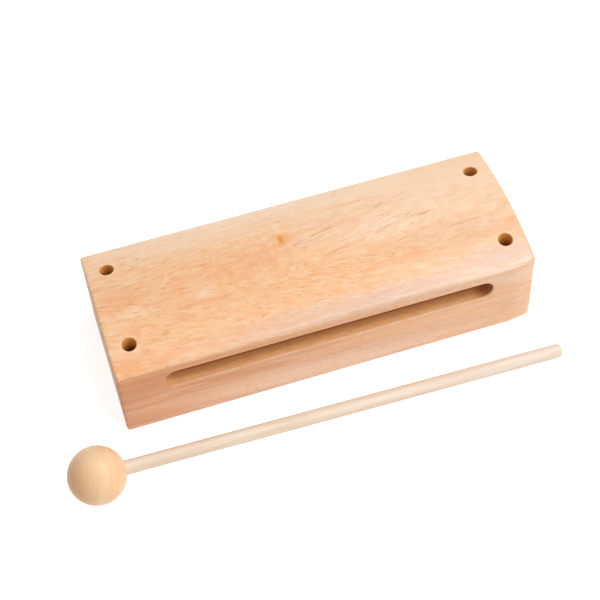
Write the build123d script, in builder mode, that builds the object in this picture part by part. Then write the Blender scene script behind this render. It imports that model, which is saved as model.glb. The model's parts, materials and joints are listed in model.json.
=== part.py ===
"""A hardwood woodblock with a milled sound slot, and the ball-ended beater that lies beside it.

Millimetres, +Z up. The origin is the middle of the block's underside, +X runs along the block's
length and the slot opens towards -Y.
"""

import os
from math import asin, atan2, degrees, hypot

from build123d import *

# Block: the outside of the solid
block_length = 190.0
block_width = 70.0
edge_height = 40.1  # height of the two long edges, where the crown springs from
crown_rise = 5.0  # how much higher the middle of the striking face is
corner_ease = 1.5  # rounding of the upright corners
top_edge_ease = 1.2  # rounding round the striking face
base_edge_ease = 1.2  # rounding round the underside
sanded_run = 12.5  # one upright corner is sanded away over this length of the front face
sanded_setback = 1.5  # and by this much of the end face

# Sound slot: milled in from the front with one cutter, so its ends are half round
slot_height = 10.0
slot_roof_at_front = 5.9  # wood over the slot where it opens; the crown adds more further in
slot_left_end_wood = 20.5  # solid wood between the slot and the block's -X end
slot_right_end_wood = 19.9
slot_back_wood = 16.5  # wall left behind the slot
slot_mouth_ease = 0.6

# Holes drilled straight down near the corners
hole_diameter = 6.3
hole_from_end = 9.7  # from the block's end faces to the holes' axes
hole_from_side = 13.85  # from the front and back faces to the holes' axes
hole_rim_ease = 0.3

# Beater: a turned ball glued on the end of a dowel
head_diameter = 25.4
head_flat_diameter = 7.4  # small flat that the socket is drilled through
socket_depth = 18.0
glue_gap = 0.05  # the glue line between dowel and socket, all round and at the bottom
stick_diameter = 6.4
stick_end_ease = 1.6
stick_inner_ease = 0.5
beater_length = 225.0  # over the ball and the stick

# Where the beater lies, on the same surface as the block
head_left_of_block = 17.8  # from the block's end face to the ball's middle, along X
head_before_block = 25.2  # from the block's front face to the ball's middle, along Y
beater_yaw = 0.32  # degrees that the stick turns from the block's length towards its front face

# Worked out from the sizes above
total_height = edge_height + crown_rise
half_length = block_length / 2
half_width = block_width / 2
slot_left = slot_left_end_wood - half_length
slot_right = half_length - slot_right_end_wood
slot_length = slot_right - slot_left
slot_middle = (slot_left + slot_right) / 2
slot_middle_height = edge_height - slot_roof_at_front - slot_height / 2
slot_depth = block_width - slot_back_wood
hole_spacing_x = block_length - 2 * hole_from_end
hole_spacing_y = block_width - 2 * hole_from_side
head_radius = head_diameter / 2
stick_radius = stick_diameter / 2
socket_radius = stick_radius + glue_gap


def block_end_profile():
    """The block seen from its end: flat base, upright sides and a crowned striking face."""
    Polyline(
        (-half_width, edge_height),
        (-half_width, 0),
        (half_width, 0),
        (half_width, edge_height),
    )
    ThreePointArc((half_width, edge_height), (0, total_height), (-half_width, edge_height))


def block_plan_outline():
    """The block seen from above, with one front corner sanded to a long shallow curve."""
    Polyline(
        (half_length - sanded_run, -half_width),
        (-half_length, -half_width),
        (-half_length, half_width),
        (half_length, half_width),
        (half_length, sanded_setback - half_width),
    )
    TangentArc(
        (half_length - sanded_run, -half_width),
        (half_length, sanded_setback - half_width),
        tangent=(1, 0),
    )


def is_slot_mouth(edge):
    """An edge of the slot's outline where it opens in the front face."""
    middle = edge.center(CenterOf.BOUNDING_BOX)
    on_front = abs(middle.Y + half_width) < slot_mouth_ease
    along = abs(middle.X - slot_middle) <= slot_length / 2
    across = abs(middle.Z - slot_middle_height) < slot_height
    return on_front and along and across


def is_hole_rim(edge):
    """A closed edge round the mouth of one of the four holes, on the crown or the underside."""
    middle = edge.center(CenterOf.BOUNDING_BOX)
    beside_x = abs(abs(middle.X) - hole_spacing_x / 2) < hole_diameter / 4
    beside_y = abs(abs(middle.Y) - hole_spacing_y / 2) < hole_diameter / 4
    return beside_x and beside_y and edge.is_closed


with BuildPart() as block:
    # The crowned bar, as it comes off the moulder
    with BuildSketch(Plane.YZ.offset(-half_length)):
        with BuildLine():
            block_end_profile()
        make_face()
    extrude(amount=block_length)

    # Cut to its plan, with the upright corners rounded
    with BuildSketch(Plane.XY) as plan:
        with BuildLine():
            block_plan_outline()
        make_face()
        ends = plan.vertices().filter_by(lambda corner: abs(corner.X) > half_length - corner_ease)
        fillet(ends, radius=corner_ease)
    extrude(amount=total_height, mode=Mode.INTERSECT)

    # Edges eased by hand: first round the striking face, then round the base
    crown = block.faces().sort_by(Axis.Z)[-1]
    fillet(crown.edges(), radius=top_edge_ease)
    base = block.faces().sort_by(Axis.Z)[0]
    fillet(base.edges(), radius=base_edge_ease)

    # The sound slot, from the front face towards the back
    with BuildSketch(Plane.XZ.offset(half_width)):
        with Locations((slot_middle, slot_middle_height)):
            SlotOverall(slot_length, slot_height)
    extrude(amount=-slot_depth, mode=Mode.SUBTRACT)
    chamfer(block.edges().filter_by(is_slot_mouth), length=slot_mouth_ease)

    # Four holes, drilled right through the solid wood beyond the slot's ends
    with Locations((0, 0, total_height)):
        with GridLocations(hole_spacing_x, hole_spacing_y, 2, 2):
            Hole(hole_diameter / 2)
    chamfer(block.edges().filter_by(is_hole_rim), length=hole_rim_ease)


# The beater is drawn with its axis along X and the ball's middle at the origin, then laid down.
# The ball and the rounded end of the stick both touch the surface, so the stick slopes.
stick_reach = beater_length - head_radius
slope_arm = hypot(stick_reach - stick_end_ease, stick_radius - stick_end_ease)
slope_rest = atan2(stick_radius - stick_end_ease, stick_reach - stick_end_ease)
beater_slope = degrees(asin((head_radius - stick_end_ease) / slope_arm) - slope_rest)
head_position = (-half_length - head_left_of_block, -half_width - head_before_block, head_radius)
beater_lie = Location(head_position, (0, beater_slope, beater_yaw))

head_flat_reach = (head_radius**2 - (head_flat_diameter / 2) ** 2) ** 0.5
socket_floor = head_flat_reach - socket_depth

with BuildPart() as beater_head:
    # Half of the ball's outline, cut flat where the stick goes in, turned about the stick's axis
    with BuildSketch(Plane.XY):
        with BuildLine():
            RadiusArc((-head_radius, 0), (0, head_radius), head_radius)
            RadiusArc((0, head_radius), (head_flat_reach, head_flat_diameter / 2), head_radius)
            Polyline(
                (head_flat_reach, head_flat_diameter / 2),
                (head_flat_reach, socket_radius),
                (socket_floor, socket_radius),
                (socket_floor, 0),
                (-head_radius, 0),
            )
        make_face()
    revolve(axis=Axis.X)

with BuildPart() as beater_stick:
    with BuildSketch(Plane.YZ.offset(socket_floor + glue_gap)):
        Circle(stick_radius)
    extrude(amount=stick_reach - socket_floor - glue_gap)
    fillet(beater_stick.edges().sort_by(Axis.X)[-1], radius=stick_end_ease)
    chamfer(beater_stick.edges().sort_by(Axis.X)[0], length=stick_inner_ease)

beater_head.part.locate(beater_lie)
beater_stick.part.locate(beater_lie)

block.part.label = "block"
beater_head.part.label = "beater_head"
beater_stick.part.label = "beater_stick"

os.makedirs("parts", exist_ok=True)
export_step(block.part, "parts/block.step")
export_step(beater_head.part, "parts/beater_head.step")
export_step(beater_stick.part, "parts/beater_stick.step")

print("block", block.part.bounding_box())
print("beater head", beater_head.part.bounding_box())
print("beater stick", beater_stick.part.bounding_box())
print("beater slope, degrees", round(beater_slope, 3))
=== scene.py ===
# %% [markdown]
# # A woodblock and its beater
#
# This notebook dresses a small percussion set: a crowned hardwood block with a sound slot milled
# into its front, and the ball-ended beater that lies before it. The solids come from the CAD frame.
# Here each one is built again as a finer mesh, with eased edges, a milled slot and drilled holes,
# and gets its own procedural wood.

import json
from math import asin, atan2, copysign, cos, degrees, hypot, pi, radians, sin, sqrt, tan

import bmesh
import bpy
from mathutils import Matrix, Vector


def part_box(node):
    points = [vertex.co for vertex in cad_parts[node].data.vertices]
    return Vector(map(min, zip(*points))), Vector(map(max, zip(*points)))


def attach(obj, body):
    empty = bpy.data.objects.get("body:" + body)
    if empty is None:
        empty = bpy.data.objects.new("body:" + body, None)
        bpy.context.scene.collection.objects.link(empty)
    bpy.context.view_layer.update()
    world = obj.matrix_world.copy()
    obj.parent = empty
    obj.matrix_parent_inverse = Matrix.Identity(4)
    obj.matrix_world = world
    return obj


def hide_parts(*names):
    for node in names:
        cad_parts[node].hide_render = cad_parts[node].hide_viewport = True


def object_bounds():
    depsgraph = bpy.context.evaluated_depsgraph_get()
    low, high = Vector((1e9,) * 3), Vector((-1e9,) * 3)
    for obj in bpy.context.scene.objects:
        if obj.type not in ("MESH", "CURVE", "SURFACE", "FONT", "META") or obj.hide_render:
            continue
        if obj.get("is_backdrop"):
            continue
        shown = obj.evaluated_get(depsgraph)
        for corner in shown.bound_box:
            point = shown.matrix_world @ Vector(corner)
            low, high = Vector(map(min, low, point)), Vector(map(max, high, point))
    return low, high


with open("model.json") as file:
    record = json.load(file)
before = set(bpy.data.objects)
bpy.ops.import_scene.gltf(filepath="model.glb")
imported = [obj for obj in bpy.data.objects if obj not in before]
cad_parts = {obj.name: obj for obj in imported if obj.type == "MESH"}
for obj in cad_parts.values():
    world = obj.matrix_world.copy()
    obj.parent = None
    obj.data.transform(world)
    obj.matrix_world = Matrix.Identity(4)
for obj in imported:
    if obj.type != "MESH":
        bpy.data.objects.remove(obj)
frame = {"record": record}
cad_box = [list(corner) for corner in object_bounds()]
print("CAD box, metres", cad_box)

# %% [markdown]
# ## Units and the view settings
#
# Workshop sizes are easiest to read in millimetres, so the meshes are built in millimetres and
# scaled to Blender's metres when they are finished. Standard is the plain view transform, under
# which a colour renders about as it is written.

# %% Units
mm = 0.001
scene = bpy.context.scene
scene.view_settings.view_transform = "Standard"


def measure(node):
    """A CAD node's lowest and highest corners at rest, in millimetres."""
    low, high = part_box(node)
    return Vector(low) / mm, Vector(high) / mm


block_low, block_high = measure("block")
head_low, head_high = measure("beater_head")
block_length = block_high.x - block_low.x
block_width = block_high.y - block_low.y
block_height = block_high.z - block_low.z
print("block", [round(size, 2) for size in (block_length, block_width, block_height)])

# %% [markdown]
# ## Camera
#
# The picture is taken from above the block's front left, with a portrait lens about 0.7 m away.
# The camera's turn is written as an azimuth, an elevation and a small roll, and is made from the
# direction it looks along, so that each of the three numbers can be changed by itself.

# %% Camera
camera_place = Vector((-0.10529, -0.40126, 0.56177))
camera_azimuth = radians(14.1447)
camera_elevation = radians(53.0361)
camera_roll = radians(4.2212)
camera_lens = 90.668
camera_sensor = 36

looking = Vector(
    (
        sin(camera_azimuth) * cos(camera_elevation),
        cos(camera_azimuth) * cos(camera_elevation),
        -sin(camera_elevation),
    )
)
camera = bpy.data.objects.new("camera", bpy.data.cameras.new("camera"))
scene.collection.objects.link(camera)
camera.data.lens = camera_lens
camera.data.sensor_width = camera_sensor
camera.location = camera_place
camera.rotation_mode = "QUATERNION"
turned = Matrix.Rotation(camera_roll, 3, looking) @ looking.to_track_quat("-Z", "Y").to_matrix()
camera.rotation_quaternion = turned.to_quaternion()
scene.camera = camera
print("camera looks along", [round(part, 4) for part in looking])

# %% [markdown]
# ## Small helpers for materials
#
# A wood finish is many thin layers of pattern. Each layer is a few nodes, so these helpers add one
# node apiece and take either a number or another node's output for any of its inputs.


# %% Node helpers
def srgb(red, green, blue):
    """A colour that is read off a screen, 0 to 255, as the linear colour that a shader wants."""

    def linear(level):
        share = level / 255
        return share / 12.92 if share <= 0.04045 else ((share + 0.055) / 1.055) ** 2.4

    return (linear(red), linear(green), linear(blue), 1.0)


class Finish:
    """The nodes of a material or the world, with a method for each kind of node."""

    def __init__(self, owner):
        self.owner = owner
        owner.use_nodes = True
        self.tree = owner.node_tree
        self.tree.nodes.clear()

    def fill(self, socket, value):
        """Give an input its number or colour, or a link from another node's output."""
        if isinstance(value, bpy.types.NodeSocket):
            self.tree.links.new(value, socket)
        else:
            socket.default_value = value

    def node(self, kind, settings=None, inputs=None):
        """Add a node, set its options and fill its inputs."""
        made = self.tree.nodes.new(kind)
        for option, value in (settings or {}).items():
            setattr(made, option, value)
        for name, value in (inputs or {}).items():
            self.fill(made.inputs[name], value)
        return made

    def maths(self, operation, first, second=0.0, third=0.0):
        """One sum of two or three numbers."""
        inputs = {0: first, 1: second, 2: third}
        return self.node("ShaderNodeMath", {"operation": operation}, inputs).outputs[0]

    def times(self, product, *factors):
        """Two or more numbers multiplied."""
        for factor in factors:
            product = self.maths("MULTIPLY", product, factor)
        return product

    def plus(self, total, *terms):
        """Two or more numbers added."""
        for term in terms:
            total = self.maths("ADD", total, term)
        return total

    def minus(self, first, second):
        return self.maths("SUBTRACT", first, second)

    def larger(self, first, second):
        return self.maths("MAXIMUM", first, second)

    def size_of(self, value):
        return self.maths("ABSOLUTE", value)

    def rise(self, value, low, high, bottom=0.0, top=1.0):
        """A smooth step from bottom to top as the value goes from low to high."""
        inputs = {"Value": value, "From Min": low, "From Max": high}
        inputs.update({"To Min": bottom, "To Max": top})
        made = self.node("ShaderNodeMapRange", {"interpolation_type": "SMOOTHSTEP"}, inputs)
        return made.outputs["Result"]

    def rise_straight(self, value, low, high):
        """0 to 1 in a straight line as the value goes from low to high, and no further."""
        inputs = {"Value": value, "From Min": low, "From Max": high}
        return self.node("ShaderNodeMapRange", {"clamp": True}, inputs).outputs["Result"]

    def bump_shape(self, value, middle, half_width):
        """1 where the value is at the middle, and smoothly 0 at half_width away."""
        return self.rise(self.size_of(self.minus(value, middle)), 0.0, half_width, 1.0, 0.0)

    def distance(self, first, second):
        """How far a point is from the middle, from its places along two axes."""
        return self.maths("SQRT", self.plus(self.times(first, first), self.times(second, second)))

    def patch(self, across, along, place, reach):
        """1 at a place on the face and smoothly 0 at its reach, as an oval."""
        side = self.maths("DIVIDE", self.minus(across, place[0]), reach[0])
        end = self.maths("DIVIDE", self.minus(along, place[1]), reach[1])
        return self.rise(self.distance(side, end), 0.0, 1.0, 1.0, 0.0)

    def vector(self, x, y, z):
        return self.node("ShaderNodeCombineXYZ", None, {"X": x, "Y": y, "Z": z}).outputs["Vector"]

    def scaled(self, place, scales):
        """A place whose x, y and z are each multiplied by a number of their own."""
        return self.vector(*[self.times(part, scale) for part, scale in zip(place, scales)])

    def noise(self, vector, detail=2.0, roughness=0.5):
        """Cloudy noise at a scale of 1, so that the vector sets the size of its clouds."""
        inputs = {"Vector": vector, "Scale": 1.0, "Detail": detail, "Roughness": roughness}
        return self.node("ShaderNodeTexNoise", None, inputs).outputs["Fac"]

    def blend(self, share, first, second):
        """A mix of two colours."""
        made = self.node("ShaderNodeMix", {"data_type": "RGBA"})
        inputs = {socket.identifier: socket for socket in made.inputs}
        self.fill(inputs["Factor_Float"], share)
        self.fill(inputs["A_Color"], first)
        self.fill(inputs["B_Color"], second)
        return next(one for one in made.outputs if one.identifier == "Result_Color")

    def place_in_mm(self):
        """The piece's own coordinates, in millimetres, as three numbers."""
        where = self.node("ShaderNodeTexCoord").outputs["Object"]
        inputs = {0: where, "Scale": 1 / mm}
        scaled = self.node("ShaderNodeVectorMath", {"operation": "SCALE"}, inputs)
        parts = self.node("ShaderNodeSeparateXYZ", None, {0: scaled.outputs["Vector"]})
        return parts.outputs["X"], parts.outputs["Y"], parts.outputs["Z"]

    def surface(self, colour, roughness, height, strength, depth, gloss):
        """A Principled surface with a shallow relief, whose gloss inputs come last."""
        inputs = {"Strength": strength, "Distance": depth, "Height": height}
        relief = self.node("ShaderNodeBump", None, inputs)
        inputs = {"Base Color": colour, "Roughness": roughness, **gloss}
        shader = self.node("ShaderNodeBsdfPrincipled", None, inputs)
        self.fill(shader.inputs["Normal"], relief.outputs["Normal"])
        return self.show(shader.outputs[0])

    def tell(self, step):
        print(step, "- nodes so far", len(self.tree.nodes))

    def show(self, shader, output="ShaderNodeOutputMaterial"):
        """Send the shader to the output, and give back the finished material or world."""
        self.node(output, None, {"Surface": shader})
        return self.owner


def new_finish(name):
    """An empty material, ready for its nodes."""
    return Finish(bpy.data.materials.new(name))


# %% [markdown]
# ## Floor
#
# The set lies on a plain white table. Its material is a white matte surface, plus a faint glow that
# only the camera, mirrors and glass can see: that lifts the table to the white of the backdrop
# without putting any more light on the wood, and the object's own soft shadow still shows.

# %% Floor
floor_size = 12.0
floor_glow = 0.68
floor_colour = (0.9, 0.9, 0.9, 1.0)

floor_mesh = bmesh.new()
bmesh.ops.create_grid(floor_mesh, x_segments=1, y_segments=1, size=floor_size / 2)
floor_data = bpy.data.meshes.new("floor")
floor_mesh.to_mesh(floor_data)
floor_mesh.free()
floor = bpy.data.objects.new("floor", floor_data)
scene.collection.objects.link(floor)
floor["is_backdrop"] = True


def seen_directly(finish):
    """1 for rays from the camera and for mirrored or refracted ones, 0 for light on the object."""
    path = finish.node("ShaderNodeLightPath").outputs
    either = finish.larger(path["Is Camera Ray"], path["Is Glossy Ray"])
    return finish.larger(either, path["Is Transmission Ray"])


table_top = new_finish("white_table")
matte = table_top.node("ShaderNodeBsdfDiffuse", None, {"Color": floor_colour})
glow_level = table_top.times(seen_directly(table_top), floor_glow)
glow = table_top.node("ShaderNodeEmission", None, {"Strength": glow_level})
lifted = table_top.node("ShaderNodeAddShader", None, {0: matte.outputs[0], 1: glow.outputs[0]})
floor_data.materials.append(table_top.show(lifted.outputs[0]))
print("floor", floor_size, "m square, glow", floor_glow)

# %% [markdown]
# ## Light
#
# The light is that of a small product studio: one large soft box overhead and to the right, a
# weaker fill from the front, and an even pale surround. The wood has a satin finish, so the box
# overhead also shows as the pale sheen along the crown's front shoulder, where a painted sheen tint
# on the wood adds to it.


# %% Light
light_aim = Vector((0.0, 0.0, 0.0))
surround_level = 0.43
white = (1.0, 1.0, 1.0, 1.0)


def soft_box(name, place, size, power):
    """A square area light at a place, turned towards the block."""
    lamp = bpy.data.lights.new(name, "AREA")
    lamp.shape = "SQUARE"
    lamp.size = size
    lamp.energy = power
    box = bpy.data.objects.new(name, lamp)
    box.location = place
    box.rotation_mode = "QUATERNION"
    box.rotation_quaternion = (light_aim - Vector(place)).to_track_quat("-Z", "Y")
    scene.collection.objects.link(box)


soft_box("key_box", place=(0.63, -0.2, 1.34), size=0.95, power=14.0)
soft_box("front_fill", place=(0.7, -0.95, 0.5), size=0.8, power=3.0)

surround = Finish(bpy.data.worlds.new("surround"))
dim = surround.node("ShaderNodeBackground", None, {"Color": white, "Strength": surround_level})
full = surround.node("ShaderNodeBackground", None, {"Color": white, "Strength": 1.0})
inputs = {0: seen_directly(surround), 1: dim.outputs[0], 2: full.outputs[0]}
either = surround.node("ShaderNodeMixShader", None, inputs)
scene.world = surround.show(either.outputs[0], "ShaderNodeOutputWorld")

# %% [markdown]
# ## Turning a bmesh into a finished piece
#
# Every piece ends the same way: it is scaled to metres, shaded smooth apart from the edges where
# two faces meet at a real corner, and made an object that sits at the origin and rides on its body.


# %% Finishing a piece
sharp_angle = radians(38)


def as_object(mesh, name):
    """A plain object from a bmesh, which is freed."""
    data = bpy.data.meshes.new(name)
    mesh.to_mesh(data)
    mesh.free()
    made = bpy.data.objects.new(name, data)
    scene.collection.objects.link(made)
    return made


def finish_piece(mesh, name, body, node, material):
    """Scale a bmesh to metres and put it in place of its CAD node."""
    bmesh.ops.scale(mesh, vec=(mm, mm, mm), verts=mesh.verts)
    piece = as_object(mesh, name)
    piece.data.shade_smooth()
    piece.data.set_sharp_from_angle(angle=sharp_angle)
    piece.data.materials.append(material)
    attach(piece, body)
    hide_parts(node)
    triangles = sum(len(face.vertices) - 2 for face in piece.data.polygons)
    print(name, "triangles", triangles)


# %% [markdown]
# ## The block's wood
#
# The block is one piece of rubberwood. Its grain runs along the length as soft cream and tan bands
# with many short open pores, which show as fine dark dashes. A small pin knot sits in the striking
# face: the fibres part around it and then climb away to the right. All of it is worked out from the
# piece's own coordinates, so the bands run through the solid and come out as dots on the sawn ends.

# %% Sizes that the wood follows
half_length = block_length / 2
half_width = block_width / 2
record_mounts = {mount["name"]: mount for mount in frame["record"]["mounts"]}
hole_pattern = record_mounts["corner_holes"]["dims"]
hole_x = hole_pattern["spacing_x_mm"] / 2
hole_y = hole_pattern["spacing_y_mm"] / 2
hole_radius = hole_pattern["hole_r_mm"]
crown_rise = 5.0
edge_height = block_height - crown_rise
crown_radius = (half_width**2 + crown_rise**2) / (2 * crown_rise)
slot_floor = 24.2
knot_x = -8.3
knot_y = 10.6


def crown_height(y):
    """How far the striking face stands above its long edges, at a distance y from the middle."""
    reach = min(abs(y), half_width)
    return sqrt(crown_radius**2 - reach**2) - (crown_radius - crown_rise)


print("crown radius", round(crown_radius, 1), "holes at", hole_x, hole_y)


# %% [markdown]
# ### The run of the fibres
#
# Wood is drawn by its fibres, so its patterns need a coordinate that stays the same along each of
# them. It starts as y, the place across the block, and is bent: the fibres climb to the right of
# the knot, part round it and wander in long slow waves. Noise and cells laid out on that
# coordinate, and drawn out along x, follow the grain by themselves.


# %% Grain that flows round the knot
def block_grain(wood, x, y, z):
    """The across-grain coordinate: fibres follow the lines along which it stays the same."""
    # Right of the knot the fibres climb, and run level again near the far end
    climb = wood.rise(x, -14.0, 66.0, 0.0, 9.5)
    belt = wood.bump_shape(y, 9.0, 24.0)
    lifted = wood.minus(y, wood.times(climb, belt))
    # The fibres part around the knot, as water does around a post
    beside = wood.minus(y, knot_y)
    before = wood.times(wood.minus(x, knot_x), 0.5)
    near = wood.plus(wood.times(beside, beside), wood.times(before, before))
    swell = wood.maths("DIVIDE", 5.0, wood.plus(near, 4.5))
    parted = wood.minus(lifted, wood.times(beside, swell))
    # Long slow waves
    wave = wood.noise(wood.scaled((x, y, z), (0.022, 0.03, 0.03)))
    return wood.plus(parted, wood.times(wood.minus(wave, 0.5), 7.0))


def stretched(wood, place, length, width):
    """A place in the wood, measured in fibre lengths along the grain and widths across it."""
    return wood.scaled(place, (1 / length, 1 / width, 1 / width))


def grain_noise(wood, place, length, width, detail=2.0, roughness=0.5):
    """Cloudy noise that is drawn out along the fibres."""
    return wood.noise(stretched(wood, place, length, width), detail, roughness)


# %% [markdown]
# ### The ground
#
# Plain rubberwood is cream and turns to fawn in soft clouds. Smaller mottling, faint streaks and
# single fibres lie over that. Each is mixed in weakly, because wood shows many faint patterns at
# once and none of them strongly.

# %% Ground
cream = srgb(252, 219, 186)
fawn = srgb(250, 206, 161)
warm = srgb(244, 188, 136)

wood = new_finish("block_rubberwood")
x, y, z = wood.place_in_mm()
fibre_place = (x, block_grain(wood, x, y, z), z)
on_top = wood.rise(z, edge_height - 9.0, edge_height - 1.0)

clouds = grain_noise(wood, fibre_place, 42.0, 15.0)
mottling = grain_noise(wood, fibre_place, 5.6, 2.1, detail=3.0)
streaks = grain_noise(wood, fibre_place, 18.0, 1.5, roughness=0.6)
fibres = grain_noise(wood, fibre_place, 6.0, 0.45, roughness=0.6)
colour = wood.blend(wood.rise(clouds, 0.36, 0.66, 0.1, 0.5), cream, fawn)
for pattern, low, high, strength in (
    (mottling, 0.3, 0.7, 0.55),
    (streaks, 0.4, 0.7, 0.6),
    (fibres, 0.4, 0.68, 0.14),
):
    colour = wood.blend(wood.rise(pattern, low, high, 0.0, strength), colour, warm)
wood.tell("ground")

# %% [markdown]
# ### Soft streaks and smudges
#
# In the front half of the striking face the fibres dip to the right, so the streaks there follow a
# coordinate of their own. In the left half the fibres rise towards the surface, and what shows of
# them is upright smudges.

# %% Soft streaks
honey = srgb(241, 170, 112)

dipping = wood.plus(y, wood.times(x, 0.2))
dipping_place = (x, dipping, z)
front_half = wood.rise(y, -1.0, -13.0)
level_streaks = grain_noise(wood, fibre_place, 8.0, 1.7, detail=1.0, roughness=0.4)
level_streaks = wood.times(
    wood.rise(level_streaks, 0.42, 0.72, 0.0, 0.42),
    wood.minus(1.0, front_half),
    wood.rise(y, 6.0, 26.0, 1.0, 0.4),
)
dipping_streaks = grain_noise(wood, dipping_place, 7.0, 1.9, detail=1.0, roughness=0.4)
dipping_streaks = wood.times(
    wood.rise(dipping_streaks, 0.42, 0.72, 0.0, 0.7),
    front_half,
    on_top,
    wood.rise(x, 70.0, 24.0, 0.4, 1.0),
)
colour = wood.blend(wood.plus(level_streaks, dipping_streaks), colour, honey)
wood.tell("streaks")

# %% Smudges
smudges = wood.noise(wood.scaled((x, y, z), (0.5, 0.3, 0.3)))
left_half = wood.patch(x, y, (-32.0, -4.0), (78.0, 36.0))
smudged = wood.times(wood.rise(smudges, 0.42, 0.7), left_half, on_top, 0.62)
colour = wood.blend(smudged, colour, honey)
wood.tell("smudges")

# %% [markdown]
# ### Tints of the striking face
#
# Some parts of the face are warmer or paler than the rest, and a few single streaks stand out. Each
# is a soft oval, given by its middle, its reach along and across the block, its colour and its
# strength. The mottling breaks the ovals up, so that none of them shows an outline.

# %% Tints
rust = srgb(214, 141, 86)
ember = srgb(240, 162, 106)
rose = srgb(240, 176, 146)
sheen_tint = srgb(202, 166, 148)
pale = srgb(252, 230, 206)

broken_up = wood.rise(mottling, 0.3, 0.6, 0.6, 1.0)
for place, reach, shade, strength in (
    ((-60, -4), (76, 36), warm, 0.62),
    ((-6, -20), (110, 22), warm, 0.6),
    ((62, -16), (54, 8), warm, 0.6),
    # Painted shade: the front right of the striking face is darkened in the sheen's tint
    ((70, -12), (66, 16), sheen_tint, 0.22),
    ((-25, 4), (26, 9), ember, 0.3),
    ((-80, 2), (26, 8), rust, 0.25),
    ((-49, -10.6), (14, 1.4), rust, 0.3),
    ((-92, 9.8), (11, 2.2), rust, 0.6),
    ((-8, 18), (2.8, 5.6), pale, 0.6),
    # Painted reflection: a pale haze at the back right of the striking face
    ((70, 16), (80, 30), pale, 0.45),
    # Painted light: the back of the striking face is made paler, where less light falls on it
    ((-10, 38), (150, 24), pale, 0.8),
    ((-92, -32), (36, 10), honey, 0.9),
    ((-45, -31), (40, 7), honey, 0.35),
    ((34, 2), (34, 12), pale, 0.4),
    ((-58, -11.6), (8, 1.1), honey, 0.6),
    ((-41, -11.2), (8.5, 1.4), honey, 0.6),
    ((-57.5, -1.5), (2.6, 6.5), honey, 0.55),
    ((-54, 12), (2.4, 5), honey, 0.3),
    ((-34, -0.5), (3.2, 6.5), honey, 0.5),
    ((-14.5, -2.5), (3, 4), honey, 0.5),
    ((-26, 7.5), (8, 5), rose, 0.4),
    ((-84, 2), (14, 9), honey, 0.45),
    ((-93, -3.5), (11, 2.6), honey, 0.6),
    ((-48, -6.5), (9, 3.6), pale, 0.4),
    ((-80, -7), (17, 4), pale, 0.45),
    ((1, 6), (10, 5), pale, 0.4),
    ((44, -16.5), (16, 3), honey, 0.5),
    ((25, -17.5), (8, 3.4), honey, 0.45),
    ((92, -12.5), (12, 5), honey, 0.5),
    ((22, -25), (26, 4), honey, 0.35),
    ((24, 22), (16, 1.8), honey, 0.4),
    ((64, 9.5), (2, 5), honey, 0.35),
    ((75, 14), (4, 3.4), honey, 0.35),
    ((-2, 6), (10, 5), rose, 0.35),
    ((12, 14), (14, 5), rose, 0.3),
):
    streak = wood.times(wood.patch(x, y, place, reach), on_top, broken_up, strength)
    colour = wood.blend(streak, colour, shade)
wood.tell("tints")

# %% [markdown]
# ### The front and back faces
#
# These show the log cut the other way. They are redder, most of all at the left, with plain
# straight streaks and a few tints of their own, placed by x and z. Over the slot, short fibres show
# as a fine hatch.

# %% Front and back faces
face_side = wood.rise(z, edge_height - 0.4, edge_height - 3.4)
side_place = (x, y, wood.plus(z, wood.times(x, 0.03)))
side_streaks = grain_noise(wood, side_place, 30.0, 1.8, detail=2.5)
side_streaks = wood.rise(side_streaks, 0.3, 0.72, -0.12, 0.22)
side_tint = wood.plus(
    wood.rise(x, -half_length, half_length, 0.82, 0.34),
    wood.times(side_streaks, wood.rise(x, 0.0, -90.0, 1.0, 2.0)),
)
colour = wood.blend(wood.times(face_side, side_tint), colour, rust)
for place, reach, shade, strength in (
    ((-90, 26), (22, 14), rust, 0.45),
    ((-45, 17.5), (46, 4.5), rust, 0.3),
    ((-84, 33), (16, 2.4), rust, 0.3),
    ((-76, 26.5), (14, 1.6), rust, 0.3),
    ((-44, 10), (62, 11), fawn, 0.6),
    ((-62, 37), (26, 4), rust, 0.3),
    ((28, 20), (50, 6), warm, 0.6),
    ((84, 25), (26, 7), warm, 0.25),
    ((60, 19.5), (24, 3.5), warm, 0.45),
    # Painted light: a paler low band on the front and back faces, standing for the table's bounce
    # light
    ((5, 6), (100, 13), pale, 0.48),
    ((84, 34), (28, 9), pale, 0.35),
    ((0, 37.5), (220, 4), warm, 0.4),
    ((44, 37.5), (60, 4), pale, 0.3),
):
    streak = wood.times(wood.patch(x, z, place, reach), face_side, strength)
    colour = wood.blend(streak, colour, shade)
wood.tell("front and back")

# %% Hatch over the slot
fine_brown = srgb(214, 138, 74)

hatch_place = (x, wood.plus(z, wood.times(x, 0.06)), y)
hatch = wood.rise(grain_noise(wood, hatch_place, 2.2, 0.45), 0.4, 0.62)
over_slot = wood.bump_shape(z, 37.4, 3.4)
colour = wood.blend(wood.times(hatch, over_slot, face_side, 0.36), colour, fine_brown)
wood.tell("hatch")

# %% [markdown]
# ### Figure and pores
#
# Left of the knot lies a patch of mottled figure, drawn across the grain. Pores are open vessels,
# cut along their length, and show as short brown dashes. A Voronoi pattern gives them: each of its
# cells holds one mark, as strong as that cell's own random level. They crowd in groups, and fine
# flecks of noise lie between them.

# %% Figure
ripple = wood.noise(wood.scaled((x, y, z), (0.26, 0.13, 0.1)), detail=3.0, roughness=0.6)
figured = wood.patch(x, y, (-30.0, 4.0), (40.0, 14.0))
mottle = wood.times(wood.rise(ripple, 0.38, 0.66), figured, on_top, 0.5)
colour = wood.blend(mottle, colour, ember)
wood.tell("figure")


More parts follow.
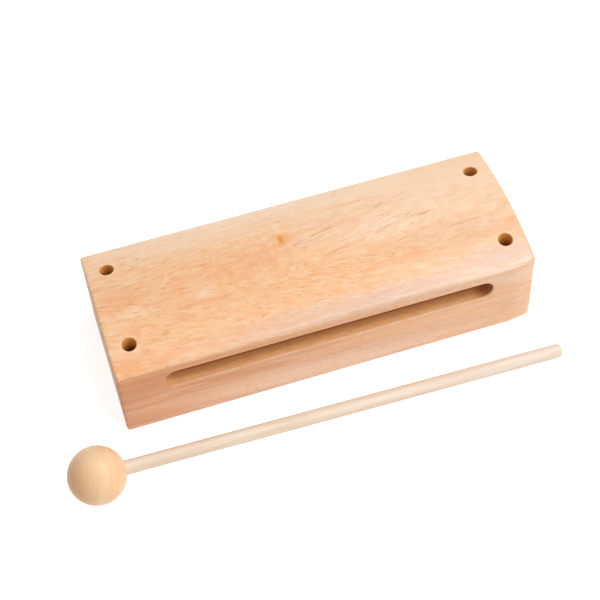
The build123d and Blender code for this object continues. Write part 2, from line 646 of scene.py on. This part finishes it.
# %% Pores
def pores(wood, place, length, width, size):
    """Open pores: one short mark to a cell, each with a strength of its own."""
    inputs = {"Vector": stretched(wood, place, length, width), "Scale": 1.0}
    cells = wood.node("ShaderNodeTexVoronoi", None, inputs)
    level = wood.node("ShaderNodeSeparateColor", None, {"Color": cells.outputs["Color"]})
    mark = wood.rise(cells.outputs["Distance"], size * 0.35, size, 1.0, 0.0)
    return wood.times(mark, level.outputs["Red"])


side_pore_place = (x, wood.plus(z, wood.times(x, 0.04)), y)
level_pores = pores(wood, fibre_place, 7.0, 0.62, 0.42)
front_pores = pores(wood, dipping_place, 7.0, 0.62, 0.45)
side_pores = pores(wood, side_pore_place, 6.0, 0.6, 0.45)
flecks = grain_noise(wood, fibre_place, 4.8, 0.75, roughness=0.55)
front_flecks = grain_noise(wood, dipping_place, 4.2, 0.8, roughness=0.55)

# %% Where the pores crowd
crowded = wood.rise(grain_noise(wood, fibre_place, 26.0, 7.0), 0.38, 0.62, 0.25, 1.0)
front_part = wood.times(wood.rise(y, -2.0, -12.0), wood.rise(x, 62.0, 22.0, 0.15, 1.0))
dense_part = wood.times(
    wood.patch(x, y, (2.0, -17.0), (42.0, 12.0)),
    wood.patch(x, z, (0.0, block_height), (80.0, 9.0)),
)
left_part = wood.times(wood.patch(x, y, (-70.0, 4.0), (48.0, 36.0)), on_top)
side_part = wood.times(
    wood.rise(x, -10.0, -80.0, 0.15, 0.5), wood.rise(z, 8.0, 34.0, 0.3, 1.0), face_side
)

marks = 0.0
for mark, part, strength in (
    (level_pores, crowded, 0.3),
    (front_pores, wood.times(front_part, crowded), 0.24),
    (front_pores, dense_part, 0.6),
    (wood.rise(flecks, 0.54, 0.74), crowded, 0.5),
    (wood.rise(front_flecks, 0.54, 0.74), front_part, 0.42),
    (level_pores, left_part, 0.3),
    (wood.rise(flecks, 0.5, 0.7), left_part, 0.34),
    (side_pores, side_part, 1.0),
):
    marks = wood.plus(marks, wood.times(mark, part, strength))
colour = wood.blend(wood.maths("MINIMUM", marks, 1.0), colour, fine_brown)
wood.tell("pores")

# %% [markdown]
# ### Painted sheen, long lines and the knot
#
# A pinkish painted sheen lies along the front shoulder, where the lamp's sheen falls, and hides the
# figure there; the edge at the back gets painted shade. Then come the marks that catch the eye:
# long vessels that climb away to the right, each drawn from a start to an end, and the pin knot, a
# brown heart in a golden halo.

# %% Painted sheen band and the shaded back rim
shaded_rim = srgb(176, 150, 140)

# Painted sheen: a paler, less red tint along the front shoulder, under the lamp's reflection
painted_sheen_band = wood.larger(
    wood.patch(x, y, (30.0, -32.5), (120.0, 10.0)),
    wood.patch(x, y, (84.0, -29.5), (54.0, 12.0)),
)
painted_sheen_band = wood.times(painted_sheen_band, wood.minus(1.0, face_side), 0.68)
colour = wood.blend(painted_sheen_band, colour, sheen_tint)
# Painted shade along the back edge of the striking face
back_rim = wood.times(wood.rise(y, half_width - 0.9, half_width - 0.2, 0.0, 0.5), on_top)
colour = wood.blend(back_rim, colour, shaded_rim)
wood.tell("lacquer")

# %% Long pore lines: start, end, sag, thickness, strength
line_brown = srgb(202, 122, 72)


def drawn_line(wood, x, y, start, end, sag, thickness):
    """A long pore line from start to end on the striking face, which sags below its chord."""
    share = wood.rise_straight(x, start[0], end[0])
    chord = wood.maths("MULTIPLY_ADD", share, end[1] - start[1], start[1])
    bow = wood.times(share, wood.minus(1.0, share), 4.0 * sag)
    away = wood.size_of(wood.plus(wood.minus(y, chord), bow))
    ends = wood.rise(wood.size_of(wood.minus(share, 0.5)), 0.25, 0.5, 1.0, 0.0)
    return wood.times(wood.rise(away, thickness * 0.3, thickness * 1.3, 1.0, 0.0), ends)


lines = 0.0
for start, end, sag, thickness, strength in (
    ((-5.2, 4.6), (3, 7.6), -0.3, 0.5, 0.8),
    ((1.8, 7.4), (18.5, 10.2), -0.2, 0.45, 1),
    ((6, 3.1), (18.5, 5.2), 0, 0.4, 0.45),
    ((-2.5, 2.7), (3, 3.1), 0, 0.7, 0.5),
    ((5.8, -4.6), (21, -3), -0.5, 0.5, 0.6),
    ((-1, -8.5), (4, -7.3), 0, 0.4, 0.35),
    ((22, 8.6), (30, 12.2), 0, 0.45, 0.4),
    ((30, 5.4), (44, 8.8), 0, 0.45, 0.3),
    ((36.5, 15), (42, 16.7), 0, 0.55, 0.8),
    ((46, 18), (56, 19.8), 0, 0.4, 0.4),
    ((31, 0.1), (44, 3), -0.2, 0.45, 0.6),
    ((32, -0.9), (40, 0.6), 0, 0.4, 0.4),
    ((51, 4.2), (61, 4.2), 0.3, 0.6, 0.75),
    ((41, 6.2), (49, 6.8), 0, 0.4, 0.4),
    ((63, -7.3), (82, -6.6), 0, 0.45, 0.5),
    ((-73, 13), (-61, 14.8), 0, 0.4, 0.35),
    ((-72, 11.9), (-63, 12.6), 0, 0.4, 0.3),
    ((-77.5, 4.5), (-72.8, 5.3), 0, 0.5, 0.6),
    ((-77, -5.8), (-64.5, -4.8), 0.3, 0.5, 0.6),
    ((-63.5, -10.9), (-51.5, -10.5), 0.3, 0.5, 0.5),
    ((-43.5, -11.6), (-32, -8.9), 0.5, 0.5, 0.45),
    ((22, -15), (28, -14.2), 0, 0.4, 0.5),
    ((-3, 3.8), (12, 7.4), -0.2, 0.4, 0.35),
    ((8, 9.6), (28, 13.4), -0.2, 0.35, 0.4),
    ((15, 6.4), (31, 9), 0, 0.4, 0.4),
    ((28, 3.2), (47, 6.6), -0.2, 0.35, 0.4),
    ((38, 13.4), (56, 16.6), 0, 0.35, 0.35),
    ((30, 12.6), (40, 15), 0, 0.4, 0.3),
    ((48, 2.8), (68, 5), 0.2, 0.35, 0.4),
    ((62, 9.6), (78, 11.4), 0, 0.35, 0.3),
    ((14, 0.4), (27, 2.2), 0, 0.4, 0.35),
):
    line = drawn_line(wood, x, y, start, end, sag, thickness)
    lines = wood.maths("MULTIPLY_ADD", line, strength, lines)
lines = wood.times(lines, on_top, wood.rise(fibres, 0.36, 0.56, 0.35, 1.0))
colour = wood.blend(wood.times(lines, 0.62), colour, line_brown)
wood.tell("long lines")

# %% Knot
knot_gold = srgb(242, 168, 86)
knot_brown = srgb(208, 124, 46)

halo = wood.patch(x, y, (knot_x + 0.3, knot_y + 0.4), (6.4, 6.4))
halo = wood.times(halo, on_top, wood.rise(ripple, 0.36, 0.56, 0.55, 1.0))
heart = wood.times(wood.patch(x, y, (knot_x, knot_y), (1.4, 3.8)), on_top, 0.8)
colour = wood.blend(halo, colour, knot_gold)
colour = wood.blend(heart, colour, knot_brown)
wood.tell("knot")

# %% [markdown]
# ### The sawn ends
#
# End grain drinks more of the lacquer, so it comes out darker. It shows the growth rings, curved
# round the middle of the tree, which lay under the block. The rays run straight away from that
# middle, and the pores are cut across and show as dots.

# %% Sawn ends
sawn_end = srgb(206, 152, 106)
sawn_ring = srgb(172, 114, 72)
sawn_pore = srgb(126, 76, 44)
pith_y = 14.0
pith_z = -46.0

near_end = wood.minus(half_length, wood.size_of(x))
end_face = wood.rise(near_end, 0.01, 0.1, 0.9, 0.0)
ring_y = wood.minus(y, pith_y)
ring_z = wood.minus(z, pith_z)
swirl = wood.noise(wood.vector(0.0, wood.times(y, 0.05), wood.times(z, 0.05)))
ring = wood.plus(wood.distance(ring_y, ring_z), wood.times(swirl, 6.0))
rings = wood.noise(wood.vector(wood.times(ring, 0.42), 0.0, 0.0), detail=3.0, roughness=0.6)
ray_angle = wood.maths("ARCTAN2", ring_y, ring_z)
rays = wood.noise(wood.vector(wood.times(ray_angle, 70.0), wood.times(ring, 0.09), 0.0))
inputs = {"Vector": wood.vector(0.0, y, z), "Scale": 1.1}
end_pores = wood.node("ShaderNodeTexVoronoi", None, inputs)
end_pores = wood.rise(end_pores.outputs["Distance"], 0.12, 0.3, 0.5, 0.0)
end_grain = wood.blend(wood.rise(rings, 0.34, 0.68), sawn_end, sawn_ring)
end_grain = wood.blend(wood.rise(rays, 0.5, 0.72, 0.0, 0.22), end_grain, warm)
end_grain = wood.blend(end_pores, end_grain, sawn_pore)
colour = wood.blend(end_face, colour, end_grain)
wood.tell("ends")

# %% [markdown]
# ### Worn edges and a painted glint
#
# The lacquer is thinner along the edges, where the sandpaper cut deepest, so they are paler. How
# near a point is to an edge is the larger of two distances: to the side, and to the face above or
# below. Towards the right the edge over the slot is crisper than elsewhere, and a painted glint, a
# thin pale highlight, runs along it.

# %% Worn edges and a painted glint
crown_fall = -crown_rise / half_width**2
crown_top = wood.maths("MULTIPLY_ADD", wood.times(y, y), crown_fall, block_height)
to_side = wood.minus(half_width, wood.size_of(y))
to_rim = wood.maths("MINIMUM", wood.minus(crown_top, z), z)
to_edge = wood.larger(to_side, to_rim)
worn = wood.times(wood.rise(to_edge, 0.3, 1.3, 1.0, 0.0), wood.rise(mottling, 0.36, 0.6, 0.0, 0.2))
# Painted highlight: a thin pale glint along the front edge of the striking face, towards the right
painted_glint = wood.times(
    wood.rise(x, 44.0, 74.0, 0.0, 0.5),
    wood.rise(z, edge_height - 1.4, edge_height - 0.6),
    wood.rise(to_edge, 0.4, 1.1, 1.0, 0.0),
)
colour = wood.blend(wood.larger(worn, painted_glint), colour, pale)
wood.tell("edges")

# %% [markdown]
# ### Bare wood in the slot and the holes
#
# The slot's milled walls and the drilled holes have no lacquer, and painted shade makes them darker
# with depth. In the slot the painted shade is pale for the first few millimetres, falls off
# quickly, is lighter at the left end and darkest at the right end. Its floor is a little fuzzy, and
# a painted highlight runs as a pale line along its lower lip.

# %% Where the wood is bare
inside = wood.times(
    wood.rise(y, 0.5 - half_width, 1.2 - half_width),
    wood.rise(z, edge_height - 2.5, edge_height - 3.5),
    wood.rise(z, 2.0, 3.0),
    wood.rise(near_end, 16.5, 18.0),
    wood.rise(y, half_width - 1.5, half_width - 2.5),
)
hole_dx = wood.minus(wood.size_of(x), hole_x)
hole_dy = wood.minus(wood.size_of(y), hole_y)
from_axis = wood.distance(hole_dx, hole_dy)
bored = wood.rise(from_axis, hole_radius + 0.05, hole_radius + 0.3, 1.0, 0.0)
wood.tell("bare wood")

# %% Slot
raw_slot = srgb(255, 199, 134)
slot_dark_brown = srgb(174, 98, 32)

# Painted shade: darker deeper into the slot, lighter at its left end and darkest at its right end
painted_slot_shade = wood.plus(
    wood.rise(y, 1.0 - half_width, 7.0 - half_width, 0.0, 0.22),
    wood.rise(y, 5.6 - half_width, 7.6 - half_width, 0.0, 0.78),
)
painted_slot_shade = wood.times(painted_slot_shade, wood.rise(x, -75.0, -64.0, 0.3, 1.0))
painted_slot_shade = wood.larger(painted_slot_shade, wood.rise(x, 64.0, 73.5))
slot_shade = wood.blend(painted_slot_shade, raw_slot, slot_dark_brown)
fuzz = wood.noise(wood.scaled((x, y, z), (0.3, 1.3, 1.3)), detail=4.0, roughness=0.65)
slot_shade = wood.blend(wood.rise(fuzz, 0.42, 0.62, 0.0, 0.24), slot_shade, slot_dark_brown)
colour = wood.blend(wood.times(inside, 0.88), colour, slot_shade)
# Painted highlight: a pale line along the slot's lower lip
painted_lip_highlight = wood.times(
    wood.bump_shape(z, slot_floor - 0.2, 0.7),
    wood.rise(y, 1.0 - half_width, 0.4 - half_width, 0.0, 0.34),
    wood.rise(mottling, 0.34, 0.6, 0.2, 1.0),
    wood.rise(near_end, 20.0, 26.0),
)
colour = wood.blend(painted_lip_highlight, colour, pale)
wood.tell("slot")

# %% Holes
raw_hole = srgb(234, 162, 76)
hole_dark_brown = srgb(84, 42, 6)

drill_rings = wood.noise(wood.scaled((x, y, z), (0.4, 0.4, 1.6)))
# Painted shade: the hole walls darken towards the bottom, broken up by drill rings
hole_shade_and_rings = wood.plus(
    wood.rise(z, edge_height - 8.0, edge_height + 2.0),
    wood.rise(drill_rings, 0.3, 0.7, -0.25, 0.2),
)
hole_shade = wood.blend(hole_shade_and_rings, hole_dark_brown, raw_hole)
colour = wood.blend(wood.times(bored, 0.9), colour, hole_shade)
wood.tell("holes")

# %% [markdown]
# ### Gloss and relief
#
# The lacquer is satin: it is a little rougher where the mottling is strong and over the pores, and
# bare wood is much rougher. The sawn ends mirror almost nothing. Pores and long lines are also sunk
# a few hundredths of a millimetre, and the fibres stand up by less than that.

# %% The block's finish
height = wood.minus(wood.times(fibres, 0.25), wood.plus(marks, wood.times(lines, 0.4)))
lacquer = wood.plus(wood.rise(mottling, 0.3, 0.7, 0.27, 0.34), wood.times(marks, 0.12))
sheen = wood.plus(lacquer, wood.times(wood.larger(inside, bored), 0.4))
gloss = {"IOR": 1.62, "Specular IOR Level": wood.rise(near_end, 0.05, 1.2, 0.04, 0.5)}
block_finish = wood.surface(colour, sheen, height, strength=0.2, depth=0.00006, gloss=gloss)
wood.tell(block_finish.name)

# %% [markdown]
# ## The block's solid
#
# The moulder cuts a crowned bar, the saw cuts it to length and the edges are eased by hand. So the
# mesh starts as a cube, gets its corners and edges rounded with bevel, is divided into a fine grid,
# and then has its top bent up into the crown by moving its vertices. The front edge of the striking
# face is rounder towards the left, and one corner of the base is rubbed off. Smoothing the vertices
# there does that: each pass over the front edge ends further left than the one before.

# %% Sizes of the bar
corner_ease = 1.5
corner_segments = 5
edge_ease = 1.2
edge_segments = 4
grid_step = 1.6
sanded_run = 12.5
sanded_setback = 1.5
soft_edge_reach = 4.4
soft_edge_limits = (74.0, 62.0, 48.0, 34.0, 18.0, 2.0, -16.0, -34.0)
base_corner_reach = 8.0
base_corner_height = 6.0
base_corner_passes = 5


def along(edge, axis):
    """True for an edge that runs along one axis."""
    run = edge.verts[1].co - edge.verts[0].co
    return abs(run[axis]) > 0.999 * run.length and run.length > grid_step


def on_soft_edge(place, limit):
    """Near the front edge of the striking face, between the left end and a limit."""
    near_front = place.y < soft_edge_reach - half_width
    near_top = place.z > edge_height - soft_edge_reach
    return near_front and near_top and corner_ease - half_length < place.x < limit


def on_base_corner(place):
    """Near the right-hand front corner of the underside."""
    near_end_face = place.x > half_length - base_corner_reach
    near_front = place.y < base_corner_reach - half_width
    return near_end_face and near_front and place.z < base_corner_height


# %% The crowned bar
def ease(bar, edges, offset, segments):
    """Round edges off."""
    bmesh.ops.bevel(
        bar, geom=edges, offset=offset, segments=segments, profile=0.5, affect="EDGES", material=-1
    )


def rub(bar, verts, lengthwise):
    """Draw vertices half way to their neighbours, across the block and lengthwise if asked."""
    bmesh.ops.smooth_vert(
        bar, verts=verts, factor=0.5, use_axis_x=lengthwise, use_axis_y=True, use_axis_z=True
    )


def crowned_bar():
    """The block before its slot and holes are cut."""
    bar = bmesh.new()
    bmesh.ops.create_cube(bar, size=1.0)
    bmesh.ops.scale(bar, vec=(block_length, block_width, edge_height), verts=bar.verts)
    bmesh.ops.translate(bar, vec=(0.0, 0.0, edge_height / 2), verts=bar.verts)
    ease(bar, [edge for edge in bar.edges if along(edge, 2)], corner_ease, corner_segments)
    flat_faces = [face for face in bar.faces if abs(face.normal.z) > 0.99]
    rims = list(dict.fromkeys(edge for face in flat_faces for edge in face.edges))
    ease(bar, rims, edge_ease, edge_segments)
    for axis, size in ((0, block_length), (1, block_width), (2, edge_height)):
        straight = [edge for edge in bar.edges if along(edge, axis)]
        cuts = round(size / grid_step)
        bmesh.ops.subdivide_edges(bar, edges=straight, cuts=cuts, use_grid_fill=True)
    for vertex in bar.verts:
        share = min(1.0, max(0.0, vertex.co.z / (edge_height - edge_ease)))
        vertex.co.z += crown_height(vertex.co.y) * share
        # One front corner is sanded away to a long shallow curve
        run = max(0.0, vertex.co.x - (half_length - sanded_run)) / sanded_run
        front = max(0.0, -vertex.co.y / half_width)
        vertex.co.y += sanded_setback * run**2 * front**4
    for limit in soft_edge_limits:
        rub(bar, [vertex for vertex in bar.verts if on_soft_edge(vertex.co, limit)], False)
    for _ in range(base_corner_passes):
        rub(bar, [vertex for vertex in bar.verts if on_base_corner(vertex.co)], True)
    return bar


bar = crowned_bar()
print("crowned bar, vertices", len(bar.verts))

# %% [markdown]
# ## The slot and the holes
#
# The slot is what an end mill leaves when it plunges in at one end and travels to the other. So its
# cutter is that mill's own shape, a profile spun round its axis, whose two halves are then pulled
# apart to the slot's length. The mouth's eased lip is part of the profile. Each hole's cutter is a
# spun profile too, with a flare at both rims that follows the slope of the crown. Booleans with the
# exact solver take the cutters away.

# %% Sizes of the cutters
slot_left = -74.5
slot_right = 75.1
slot_top = 34.2
slot_back_wood = 16.5
lip_ease = 0.7
back_corner = 1.5
rim_ease = 0.35
overrun = 3.0
mill_steps = 40
lip_parts = 4
rim_parts = 3
seam_gap = 1e-4
cut_gap = 1e-3
origin = (0.0, 0.0, 0.0)
upright = (0.0, 0.0, 1.0)
inwards = (0.0, 1.0, 0.0)


def arc_points(centre, radius, start, stop, count):
    """Points on an arc in a profile's own plane, both ends included."""
    steps = [start + (stop - start) * index / count for index in range(count + 1)]
    return [(centre[0] + radius * cos(turn), centre[1] + radius * sin(turn)) for turn in steps]


# %% A turned solid
def spun(profile, axis, steps, place):
    """A closed turned solid. A profile point is its distance from the axis and its height."""
    turned = bmesh.new()
    side = Vector((1.0, 0.0, 0.0))
    up = Vector(axis)
    points = [turned.verts.new(side * out + up * height) for out, height in profile]
    edges = [turned.edges.new(pair) for pair in zip(points, points[1:])]
    start = Matrix.Rotation(pi / steps, 3, up)
    bmesh.ops.rotate(turned, cent=origin, matrix=start, verts=turned.verts)
    bmesh.ops.spin(
        turned,
        geom=[*points, *edges],
        cent=origin,
        axis=up,
        angle=2 * pi,
        steps=steps,
        use_merge=True,
    )
    bmesh.ops.remove_doubles(turned, verts=turned.verts, dist=seam_gap)
    bmesh.ops.translate(turned, vec=place, verts=turned.verts)
    bmesh.ops.recalc_face_normals(turned, faces=turned.faces)
    return turned


# %% The slot's cutter
def slot_cutter():
    """The end mill's shape, drawn out along the slot."""
    radius = (slot_top - slot_floor) / 2
    depth = block_width - slot_back_wood
    lip = arc_points((radius + lip_ease, lip_ease), lip_ease, -pi / 2, -pi, lip_parts)
    corner = (radius - back_corner, depth - back_corner)
    back = arc_points(corner, back_corner, 0.0, pi / 2, lip_parts)
    mouth = [(0.0, -overrun), (radius + lip_ease, -overrun)]
    profile = [*mouth, *lip, *back, (0.0, depth)]
    middle = (slot_left + slot_right) / 2
    centre = (middle, -half_width, (slot_floor + slot_top) / 2)
    cutter = spun(profile, inwards, mill_steps, centre)
    travel = (slot_right - slot_left) / 2 - radius
    for vertex in cutter.verts:
        offset = vertex.co.x - middle
        if abs(offset) > cut_gap:
            vertex.co.x += copysign(travel, offset)
    return cutter


# %% The holes' cutters
def hole_cutter(x, y):
    """A drilled hole with eased rims. The upper rim leans with the crown."""
    rim = hole_radius + rim_ease
    top = edge_height + crown_height(y)
    lower = arc_points((rim, rim_ease), rim_ease, -pi / 2, -pi, rim_parts)
    upper = arc_points((rim, top - rim_ease), rim_ease, pi, pi / 2, rim_parts)
    below = [(0.0, -overrun), (rim, -overrun)]
    above = [(rim, top + overrun), (0.0, top + overrun)]
    profile = [*below, *lower, *upper, *above]
    cutter = spun(profile, upright, mill_steps, (x, y, 0.0))
    lean = -y / sqrt(crown_radius**2 - y**2)
    for vertex in cutter.verts:
        if vertex.co.z > edge_height / 2:
            vertex.co.z += lean * (vertex.co.y - y)
    return cutter


# %% Cutting the block
def cut_away(solid, cutters):
    """The solid without its cutters. All of them are used up, and a bmesh comes back."""
    body = as_object(solid, "blank")
    helpers = [as_object(cutter, "cutter") for cutter in cutters]
    for helper in helpers:
        cut = body.modifiers.new("cut", "BOOLEAN")
        cut.operation = "DIFFERENCE"
        cut.solver = "EXACT"
        cut.object = helper
    depsgraph = bpy.context.evaluated_depsgraph_get()
    result = bpy.data.meshes.new_from_object(body.evaluated_get(depsgraph))
    cleaned = bmesh.new()
    cleaned.from_mesh(result)
    for used in (body, *helpers):
        bpy.data.objects.remove(used)
    bmesh.ops.remove_doubles(cleaned, verts=cleaned.verts, dist=cut_gap)
    return cleaned


hole_places = [(side * hole_x, depth * hole_y) for side in (-1, 1) for depth in (-1, 1)]
cutters = [slot_cutter(), *[hole_cutter(x, y) for x, y in hole_places]]
block_mesh = cut_away(bar, cutters)
open_edges = [edge for edge in block_mesh.edges if len(edge.link_faces) != 2]
print("block faces", len(block_mesh.faces), "open edges", len(open_edges))
finish_piece(block_mesh, "resonator_block", "woodblock", "block", block_finish)

# %% [markdown]
# ## The beater
#
# The beater's head is a ball turned on a lathe, bored for the dowel and glued to it. Both pieces
# are spun about the beater's own axis and then laid down: the ball and the dowel's far end touch
# the table, so the dowel slopes a little.

# %% How the beater lies
head_radius = (head_high.y - head_low.y) / 2
head_centre = Vector((head_low.x + head_radius, (head_low.y + head_high.y) / 2, head_radius))
stick_radius = 3.2
stick_end_ease = 1.6
head_flat_radius = 3.7
beater_yaw = radians(0.32)
beater_length = 225.0
beater_reach = beater_length - head_radius
slope_arm = hypot(beater_reach - stick_end_ease, stick_radius - stick_end_ease)
slope_rest = atan2(stick_radius - stick_end_ease, beater_reach - stick_end_ease)
beater_slope = asin((head_radius - stick_end_ease) / slope_arm) - slope_rest
beater_turn = Matrix.Rotation(beater_slope, 3, "Y") @ Matrix.Rotation(beater_yaw, 3, "Z")
print("beater slope, degrees", round(degrees(beater_slope), 3))
print("ball, mm", round(2 * head_radius, 2))


def lay_down(mesh):
    """Turn a piece that was spun about Z so that its axis is X, then lay it on the table."""
    quarter_turn = Matrix.Rotation(pi / 2, 3, "Y")
    for turn in (quarter_turn, beater_turn):
        bmesh.ops.rotate(mesh, cent=origin, matrix=turn, verts=mesh.verts)
    bmesh.ops.translate(mesh, vec=head_centre, verts=mesh.verts)


# %% [markdown]
# ### The head's wood
#
# The ball is a pale hardwood with a satin finish. Its fibres run across the stick, and the growth
# rings of a wide tree lie round a line well to the right of it. The side away from the stick and
# the underside are browner with painted shade.


# %% The head's wood
ball_cream = srgb(249, 213, 174)
ball_tan = srgb(245, 200, 152)
ball_ring = srgb(222, 162, 110)
ball_pink = srgb(244, 190, 158)
ball_fibre = srgb(205, 146, 96)
ball_shade_brown = srgb(212, 148, 88)


def turned_wood():
    """The ball's satin hardwood."""
    wood = new_finish("head_beech")
    x, y, z = wood.place_in_mm()
    dx = wood.minus(x, head_centre.x)
    dy = wood.minus(y, head_centre.y)
    dz = wood.minus(z, head_centre.z)
    ring = wood.distance(wood.minus(dx, 60.0), wood.plus(dz, 14.0))
    bands = wood.noise(wood.vector(wood.times(ring, 0.2), wood.times(dy, 0.05), 3.0))
    rings = wood.noise(wood.vector(wood.times(ring, 1.3), wood.times(dy, 0.07), 7.0), detail=3.0)
    fibres = wood.noise(wood.scaled((dx, dy, dz), (2.4, 0.3, 2.4)))
    # Arcs low down, where the turner's finish soaked in between the fibres
    arcs = wood.noise(wood.scaled((dx, dy, dz), (0.06, 0.06, 0.9)))
    arcs = wood.times(wood.rise(arcs, 0.4, 0.66), wood.rise(dz, 1.0, -4.0, 0.0, 0.3))
    # Painted shade on the side away from the stick and on the underside
    painted_far_shade = wood.rise(dx, -2.5, -head_radius, 0.0, 0.75)
    painted_under_shade = wood.rise(dz, -1.0, -head_radius, 0.0, 0.4)
    colour = wood.blend(wood.rise(bands, 0.3, 0.7), ball_cream, ball_tan)
    for share, shade in (
        (wood.rise(rings, 0.42, 0.72, 0.0, 0.26), ball_ring),
        (arcs, ball_ring),
        (wood.rise(dx, 3.0, head_radius, 0.0, 0.4), ball_pink),
        (wood.rise(fibres, 0.5, 0.72, 0.0, 0.2), ball_fibre),
        (wood.larger(painted_far_shade, painted_under_shade), ball_shade_brown),
    ):
        colour = wood.blend(share, colour, shade)
    satin = wood.rise(fibres, 0.3, 0.7, 0.36, 0.46)
    return wood.surface(colour, satin, fibres, strength=0.25, depth=0.00005, gloss={"IOR": 1.48})


# %% [markdown]
# ### The stick's wood
#
# The dowel is bare birch, paler and less glossy than the ball. Its fibres run along it. It has one
# greyish streak, a warm side at the back and a paler far end.


# %% The stick's wood
birch_pale = srgb(240, 223, 202)
birch_cream = srgb(234, 209, 184)
birch_fibre = srgb(222, 184, 152)
birch_grey = srgb(228, 202, 190)
birch_warm = srgb(246, 208, 166)
birch_far = srgb(232, 214, 204)


def dowel_wood():
    """The stick's pale birch."""
    wood = new_finish("stick_birch")
    x, y, z = wood.place_in_mm()
    fibres = grain_noise(wood, (x, y, z), 30.0, 0.7, detail=3.0)
    bands = grain_noise(wood, (x, y, z), 60.0, 2.0)
    # How far to the back of the dowel's own axis, which turns a little from the block's length
    along_axis = wood.minus(x, head_centre.x)
    axis_y = wood.maths("MULTIPLY_ADD", along_axis, tan(beater_yaw), head_centre.y)
    aside = wood.plus(wood.minus(y, axis_y), wood.times(wood.minus(bands, 0.5), 3.0))
    colour = wood.blend(wood.rise(bands, 0.35, 0.65), birch_pale, birch_cream)
    for share, shade in (
        (wood.rise(fibres, 0.48, 0.72, 0.0, 0.3), birch_fibre),
        (wood.times(wood.bump_shape(aside, 0.2, 1.5), 0.4), birch_grey),
        (wood.rise(aside, 0.9, 2.8, 0.0, 0.5), birch_warm),
        (wood.rise(along_axis, 90.0, 215.0, 0.0, 0.4), birch_far),
    ):
        colour = wood.blend(share, colour, shade)
    dull = wood.rise(fibres, 0.3, 0.7, 0.5, 0.6)
    return wood.surface(colour, dull, fibres, strength=0.3, depth=0.00005, gloss={"IOR": 1.46})


# %% [markdown]
# ### The ball and the dowel
#
# Both outlines are half profiles, given as a distance from the axis and a height along it. The
# ball's has the flat and the bore that take the stick. The dowel's is cut into short parts, and
# starts one glue line away from the bore's end.

# %% The ball
glue_gap = 0.05
socket_depth = 18.0
socket_radius = stick_radius + glue_gap
flat_reach = sqrt(head_radius**2 - head_flat_radius**2)
socket_floor = flat_reach - socket_depth
flat_turn = asin(head_flat_radius / head_radius)
ball_steps = 72
ball_parts = 40

ball_outline = arc_points((0.0, 0.0), head_radius, -pi / 2, pi / 2 - flat_turn, ball_parts)
bore = [(socket_radius, flat_reach), (socket_radius, socket_floor), (0.0, socket_floor)]
head_mesh = spun([*ball_outline, *bore], upright, ball_steps, origin)
lay_down(head_mesh)
finish_piece(head_mesh, "beater_ball", "beater", "beater_head", turned_wood())

# %% The dowel
stick_steps = 40
shaft_parts = 60
end_parts = 6

end_centre = (stick_radius - stick_end_ease, beater_reach - stick_end_ease)
end_outline = arc_points(end_centre, stick_end_ease, 0.0, pi / 2, end_parts)
stick_start = socket_floor + glue_gap
shaft_length = beater_reach - stick_start - stick_end_ease
shaft = [
    (stick_radius, stick_start + shaft_length * part / shaft_parts) for part in range(shaft_parts)
]
stick_profile = [(0.0, stick_start), *shaft, *end_outline, (0.0, beater_reach)]
stick_mesh = spun(stick_profile, upright, stick_steps, origin)
lay_down(stick_mesh)
finish_piece(stick_mesh, "beater_dowel", "beater", "beater_stick", dowel_wood())

# %% [markdown]
# ## Sizes
#
# Both boxes, the CAD model's and the dressed model's, are printed side by side. The dressed model
# must not be larger than the CAD model.

# %% Sizes and finish
visual_box = [list(corner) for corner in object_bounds()]
for label, box in (("CAD", cad_box), ("visual", visual_box)):
    print(label, [[round(value / mm, 2) for value in corner] for corner in box])
